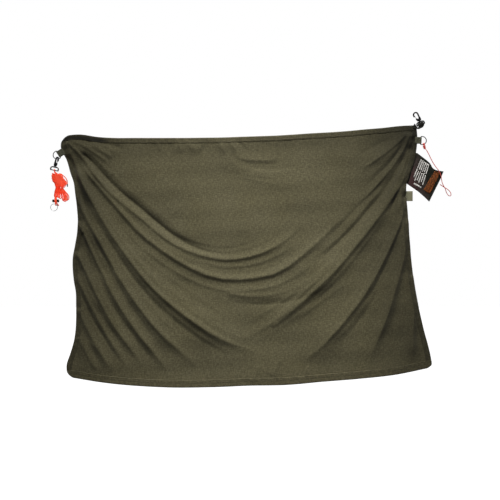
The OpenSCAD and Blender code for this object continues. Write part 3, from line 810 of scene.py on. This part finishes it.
front_pts, back_pts = pouch_face(True), pouch_face(False)
cloth_piece("pouch_front_cloth", front_pts, PM, PN, 0.0013, M_POUCH, True, "pouch_front")
cloth_piece("pouch_back_cloth", back_pts, PM, PN, 0.0013, M_POUCH, False, "pouch_back")
k = PN - 5
cloth_piece("pouch_mouth_front", front_pts[:, k:] - (0, 0.0009, 0), PM, 5, 0.0008, M_POUCH_HEM, True,
            "pouch_mouth_hem")
cloth_piece("pouch_mouth_back", back_pts[:, k:] + (0, 0.0009, 0), PM, 5, 0.0008, M_POUCH_HEM, False,
            None)
bind = []
for k, e in enumerate((P_EDGE[0], P_EDGE[1], P_EDGE[2])):
    inner = 0.0012 * (np.array([0.72, -0.2]) - e.mean(0)) / np.linalg.norm(np.array([0.72, -0.17]) - e.mean(0))
    pth = [(x + inner[0], 0.0082, z + inner[1]) for x, z in e[::4]]
    bind.append(strip("bind%d" % k, pth, (0, 1, 0), 0.0108, 0.0016, M_POUCH_HEM))
bind = join("pouch_binding_tape", bind)
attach(bind, "pouch")
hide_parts("pouch_binding")
seam = plate("pouch_seam_flange", [(688.5, -69), (648, -195), (634, -190), (674, -64)], 2.15, 0.6, M_SEAM,
             lambda p: np.array(p) / 1000, 0.0003)
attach(seam, "sheet")
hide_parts("pouch_seam")


def front_y(x, z):
    d = (front_pts[..., 0] - x) ** 2 + (front_pts[..., 2] - z) ** 2
    i = np.argsort(d, axis=None)[:4]
    w = 1 / (d.ravel()[i] + 1e-9)
    return (front_pts[..., 1].ravel()[i] * w).sum() / w.sum()


def decal(name, corners, n, m, lift=0.0012, t=0.0003, mat=None):
    c = np.array(corners, float) / 1000
    pts = np.zeros((m, n, 3))
    for j in range(m):
        for i in range(n):
            a, b = i / (n - 1), j / (m - 1)
            x, z = c[0] * (1 - a) * (1 - b) + c[1] * a * (1 - b) + c[2] * a * b + c[3] * (1 - a) * b
            pts[j, i] = (x, front_y(x, z) - lift, z)
    V = np.vstack([pts.reshape(-1, 3), (pts + (0, t, 0)).reshape(-1, 3)])
    F = [tuple(f[::-1]) for f in grid_faces(n, m)] + [tuple(f) for f in grid_faces(n, m, start=n * m)]
    rim = ([i for i in range(n)] + [j * n + n - 1 for j in range(1, m)]
           + [(m - 1) * n + i for i in range(n - 2, -1, -1)] + [j * n for j in range(m - 2, 0, -1)])
    F += [(rim[i - 1], rim[i], rim[i] + n * m, rim[i - 1] + n * m) for i in range(len(rim))]
    return mesh_object(name, V, F, mat, [(p[0], p[2]) for p in V])


rows = []
for k in range(6):
    a = np.array([703, -94.0]) + np.array([31, -21]) * k / 5
    b = np.array([667, -179.0]) + np.array([40, -21]) * k / 5
    d = (b - a) / np.linalg.norm(b - a)
    n = np.array([d[1], -d[0]]) * 2.1
    cut = (0.86, 1, 0.93, 0.98, 0.9, 1)[k]
    for q, (f0, f1) in enumerate(((0, 0.47 * cut), (0.52 * cut, cut))):
        p0, p1 = a + (b - a) * f0, a + (b - a) * f1
        rows.append(decal("row%d_%d" % (k, q), [p0 - n, p0 + n, p1 + n, p1 - n], 2, 14, mat=M_PRINT))
rows.append(decal("bold", [(673, -190), (703, -207), (701.5, -213), (671, -196)], 12, 3, mat=M_PRINT))
label = join("pouch_label_print", rows)
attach(label, "pouch")
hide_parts("pouch_label")

m = Mat("band print", rgb(122, 70, 30), 0.75, 0, 0.25)
spots = m.noise(m.coords("Object"), 140, 3, 0.65)
m.color(m.ramp(spots, [(0.0, rgb(58, 40, 24)), (0.42, rgb(92, 54, 26)), (0.55, rgb(140, 78, 34)),
                       (0.7, rgb(176, 96, 44))]))
M_BAND = m.m
band = decal("pouch_band_print", [(757, -141), (782, -147.5), (738, -236), (710, -219)], 12, 30, mat=M_BAND)
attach(band, "pouch")
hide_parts("pouch_band")


# ---------------------------------------------------------------- guy line
def interp(z, table):
    t = np.array(sorted(table), float)
    return np.interp(z, t[:, 0], t[:, 1])


Y0 = 3.3
line = [(-749, Y0, -205), (-749, Y0, -196), (-749.5, Y0 - 1, -188), (-751, Y0 - 2, -179), (-757, Y0 - 3, -169),
         (-767, Y0 - 3, -160), (-778, Y0 - 3, -153.5)]
LOOPS = [(-1, -4.2, "L", -248, -3.5, 1), (-1, -4.2, "M", -251, -3, 0.4), (-1, 0, "M", -254, 2, 1),
         (-1, 0, "L", -249, 1, 0.4), (-1, 4.2, "L", -247, 5, 0.4), (-1, 4.2, "R", -263, -9, 1),
         (1, 4.2, "R", -259, 8, 1), (1, 0, "R", -266, -3, 1), (1, -4.2, "R", -263, 4, 1),
         (1, -4.2, "R", -257, -8, 0.4)]
MID = [(-152, -790), (-165, -787), (-180, -784), (-195, -783), (-209, -783)]


def strand(col, leg, side, z, shift, spread):
    """x of one strand of a skein loop at height z."""
    xc = interp(z, MID + [(-230, -783), (-270, -783)])
    off = interp(z, [(-152, 6), (-165, 10), (-180, 11), (-195, 9), (-209, 6.8), (-270, 6.8)]) * col
    wide = interp(z, [(-152, 6), (-165, 7.5), (-180, 8), (-195, 7), (-209, 5.6), (-225, 5), (-270, 4.8)])
    x = xc + off
    wide = wide * (spread + (1 - spread) * smoothstep((-204 - z) / 30))
    target = {"L": -794.5, "M": -780, "R": -756.5}[leg] + shift
    x = x + (target - x) * smoothstep((-204 - z) / 45)
    return x + side * wide


for n_, (col, dy, leg, zb, sh, sp) in enumerate(LOOPS):
    first, second = (-1, 1) if col < 0 else (1, -1)
    zt = -153.5 - 1.3 * (n_ % 3)
    for z in np.arange(zt - 6, zb + 6, -7):
        line.append((strand(col, leg, first, z, sh, sp) + rng.uniform(-0.4, 0.4), Y0 + dy + rng.uniform(-0.3, 0.3), z))
    xa, xb = strand(col, leg, first, zb, sh, sp), strand(col, leg, second, zb, sh, sp)
    line += [(xa * 0.9 + xb * 0.1, Y0 + dy, zb + 2.2), ((xa + xb) / 2, Y0 + dy, zb - 0.8),
             (xa * 0.1 + xb * 0.9, Y0 + dy, zb + 2.2)]
    for z in np.arange(zb + 6, zt - 6, 7):
        line.append((strand(col, leg, second, z, sh, sp) + rng.uniform(-0.4, 0.4), Y0 + dy + rng.uniform(-0.3, 0.3), z))
    if n_ < len(LOOPS) - 1:
        nx = LOOPS[n_ + 1]
        xs = strand(col, leg, second, zt - 5, sh, sp)
        xe = strand(nx[0], nx[2], -1 if nx[0] < 0 else 1, zt - 5, nx[4], nx[5])
        line += [(xs * 0.88 + xe * 0.12, Y0 + dy * 0.8 + nx[1] * 0.2, zt - 1.5),
                 ((xs + xe) / 2, Y0 + (dy + nx[1]) / 2, zt + 1.2),
                 (xs * 0.12 + xe * 0.88, Y0 + dy * 0.2 + nx[1] * 0.8, zt - 1.5)]
# once over the eye's bar, OVER from its middle
BAR_X, BAR_Z, OVER = -802.26, -138.65, 4.1
line += [(BAR_X + 8, Y0 - OVER - 1, BAR_Z - 11), (BAR_X, Y0 - OVER, BAR_Z - 4)]
line += [(BAR_X, Y0 - OVER * math.cos(a), BAR_Z + OVER * math.sin(a)) for a in np.linspace(0, math.pi, 7)]
line += [(BAR_X, Y0 + OVER, BAR_Z - 4), (BAR_X + 1, Y0 + OVER + 0.5, BAR_Z - 10)]
# wraps round the hank, then down the left leg
TURNS = 11.5
for a in np.linspace(0.5, TURNS * 2, int(TURNS * 14)) * math.pi:
    f = (a / math.pi - 0.5) / (TURNS * 2 - 0.5)
    z = -156 - 47 * f
    hw = interp(z, [(-205, 15), (-199, 21), (-193, 26.5), (-186, 29.5), (-177, 28.5), (-168, 25), (-160, 20),
                    (-155, 15)])
    xc = interp(z, [(-205, -782), (-199, -780), (-190, -780.5), (-178, -783.5), (-167, -788.5), (-158, -793)])
    wob = 0.8 * math.sin(a * 0.37 + 1)
    line.append((xc - (hw + wob) * math.sin(a) * -1, Y0 + 11.2 * math.cos(a), z - 6.5 * math.sin(a) * 1.0))
line += [(-791, Y0 - 9, -208), (-797, Y0 - 6.5, -218), (-800.5, Y0 - 5, -232), (-798, Y0 - 4.2, -246)]
# through the runner, round the peg ring, back up, and a stopper turn round the runner
X1, LG = -797, 3.9
line += [(X1, Y0 - LG, z) for z in (-254, -260, -267, -274)]
line += [(X1, Y0 - LG * math.cos(a), -278.6 - LG * math.sin(a)) for a in np.linspace(0.15, math.pi - 0.15, 7)]
line += [(X1, Y0 + LG, z) for z in (-274, -267, -260, -254.5)]
line += [(X1 - 1, Y0 + 2.5, -251), (X1 - 2, Y0 - 3, -250.5), (X1 - 2.4, Y0 - 7.2, -254), (X1 - 2.2, Y0 - 8.3, -262),
         (X1 - 1, Y0 - 7.8, -272), (X1, Y0 - 3, -276.3), (X1 + 1, Y0 + 3, -276.3), (X1 + 1.5, Y0 + 7.8, -272),
         (X1 + 2, Y0 + 8.2, -261), (X1 + 2.2, Y0 + 6, -255), (X1 + 2.3, Y0, -252.5), (X1 + 2.4, Y0 - 6.5, -255),
         (X1 + 3, Y0 - 8.4, -262), (X1 + 5, Y0 - 7.6, -270), (X1 + 9, Y0 - 5.5, -278), (X1 + 13.5, Y0 - 4.2, -284)]
raw = np.array(line, float) / 1000
path = smooth(raw, 1500)
guy = tube("guy_line_cord", path, 0.0019, M_LINE, 10)
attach(guy, "guy_line")
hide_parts("guy_hank", "guy_tail")
tuple(path[0])
[tuple(p) for p in path]

# ---------------------------------------------------------------- tie cord with its knot
tie = []
c0, rad_d, tan_d = np.array([712.2, 0, -32.4]), np.array([0.342, 0, -0.94]), np.array([0.94, 0, 0.342])
for a in np.linspace(0, 2.5 * 2 * math.pi, 26):
    tie.append(c0 + tan_d * (-3.4 + 6.8 * a / (5 * math.pi))
               + 3.5 * (math.cos(a) * rad_d + math.sin(a) * np.array([0, -1, 0])))
k0, kd = np.array([713.2, -1.0, -38.5]), np.array([0.3, 0, -0.954])
for a in np.linspace(0.5, 3.6 * 2 * math.pi, 52):
    f = a / (7.2 * math.pi)
    tie.append(k0 + kd * 12.5 * f + (4.6 - 1.2 * f) * (math.cos(a) * np.array([0.954, 0, 0.3])
                                                      + math.sin(a) * np.array([0, -1, 0])))
tie += [np.array(p, float) for p in (
    (717.5, -4, -50), (725, -4.5, -60), (733, -5, -75), (741, -5.5, -92), (750, -6, -109), (760, -6.5, -124),
    (770, -7, -137), (778, -7.5, -150), (782, -8, -163), (784, -8, -177), (787, -8, -191), (793, -8, -204),
    (799, -8, -215), (803, -7.5, -227), (808, -7, -237), (814, -6.5, -243), (820, -6, -244),
    (823, -5.5, -239), (821, -5, -230), (814, -4.5, -221), (805, -4, -214), (795, -4, -208),
    (786, -4, -202), (778, -4, -197))]
tpath = smooth(np.array(tie) / 1000, 420)
tie_ob = tube("tie_cord_line", tpath, 0.0015, M_TIE, 10)
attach(tie_ob, "right_ring")
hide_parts("tie_cord", "cord_knot")

# ---------------------------------------------------------------- hardware keeps its own shape
for node, mat in (("ring_left", M_RING), ("ring_right", M_RING), ("hook_left", M_HOOK), ("hook_right", M_HOOK),
                  ("swivel_left", M_HOOK), ("swivel_right", M_HOOK), ("gate_left", M_GATE), ("gate_right", M_GATE),
                  ("gate_pin_left", M_PIN), ("gate_pin_right", M_PIN), ("line_runner", M_RUN),
                  ("peg_ring", M_PEG), ("guy_end_upper", M_END), ("guy_end_lower", M_END)):
    o = frame["nodes"][node]
    o.data.materials.clear()
    o.data.materials.append(mat)

# the right hook's crown is moulded a little fuller outside than its plain solid; the mouth keeps its radius
MOUTH_AT, MOUTH_WALL = (0.67944, 0.088617), 0.0075
FULLER, CROWN_FROM, CROWN_FADE = 0.0010, 0.026, 0.005
body = frame["nodes"]["hook_right"].data.copy()
bm = bmesh.new()
bm.from_mesh(body)
bmesh.ops.remove_doubles(bm, verts=bm.verts, dist=1e-5)
bm.normal_update()
c_, s_ = math.cos(math.radians(HOOK_DEG)), math.sin(math.radians(HOOK_DEG))
for vert in bm.verts:
    dx_, dz_ = vert.co.x - HOOK_AT[0] / 1000, vert.co.z - HOOK_AT[2] / 1000
    up = s_ * dx_ + c_ * dz_
    if math.hypot(vert.co.x - MOUTH_AT[0], vert.co.z - MOUTH_AT[1]) > MOUTH_WALL:
        vert.co += vert.normal * FULLER * float(smoothstep((up - CROWN_FROM) / CROWN_FADE))
bm.to_mesh(body)
bm.free()
crown = bpy.data.objects.new("hook_right_moulding", body)
scene.collection.objects.link(crown)
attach(crown, "right_hook")
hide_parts("hook_right")

# ---------------------------------------------------------------- floor, light
bpy.ops.mesh.primitive_plane_add(size=40, location=(0, 0, -1.75))
floor = bpy.context.object
floor.name = "floor"
fm = Mat("pale floor", rgb(190, 190, 190), 0.9)
fm.b.inputs["Emission Color"].default_value = (1, 1, 1, 1)
fm.l(fm.n("ShaderNodeLightPath").outputs["Is Camera Ray"], fm.b.inputs["Emission Strength"])
floor.data.materials.append(fm.m)

world = bpy.data.worlds.new("studio")
scene.world = world
world.use_nodes = True
wn = world.node_tree
bg = wn.nodes["Background"]
tc = wn.nodes.new("ShaderNodeTexCoord")
sx = wn.nodes.new("ShaderNodeSeparateXYZ")
ramp = wn.nodes.new("ShaderNodeValToRGB")
mr = wn.nodes.new("ShaderNodeMapRange")
wn.links.new(tc.outputs["Generated"], sx.inputs[0])
wn.links.new(sx.outputs[2], mr.inputs[0])
mr.inputs[1].default_value, mr.inputs[2].default_value = -1, 1
wn.links.new(mr.outputs[0], ramp.inputs[0])
while len(ramp.color_ramp.elements) < 4:
    ramp.color_ramp.elements.new(0.5)
for e, (pos, val) in zip(ramp.color_ramp.elements, ((0.0, 0.02), (0.42, 0.04), (0.60, 0.10), (1.0, 0.35))):
    e.position, e.color = pos, (val, val, val, 1)
seen = wn.nodes.new("ShaderNodeLightPath")
mixer = wn.nodes.new("ShaderNodeMix")
mixer.data_type = "RGBA"
wn.links.new(seen.outputs["Is Camera Ray"], mixer.inputs[0])
wn.links.new(ramp.outputs[0], mixer.inputs[6])
mixer.inputs[7].default_value = (1, 1, 1, 1)
wn.links.new(mixer.outputs[2], bg.inputs[0])
bg.inputs[1].default_value = 1.0


def area_light(name, loc, at, size, power):
    d = bpy.data.lights.new(name, "AREA")
    d.size, d.energy = size, power
    o = bpy.data.objects.new(name, d)
    scene.collection.objects.link(o)
    o.location = loc
    o.rotation_euler = (Vector(at) - Vector(loc)).to_track_quat("-Z", "Y").to_euler()
    return o


key = area_light("key", (0.06, -1.9, 3.7), (0.02, 0, -0.36), 1.2, 12.2)
key.data.spread = math.radians(28)
area_light("back fill", (0.3, 3.2, 1.6), (0, 0, -0.5), 2.0, 22)

scene.view_settings.view_transform = "Standard"
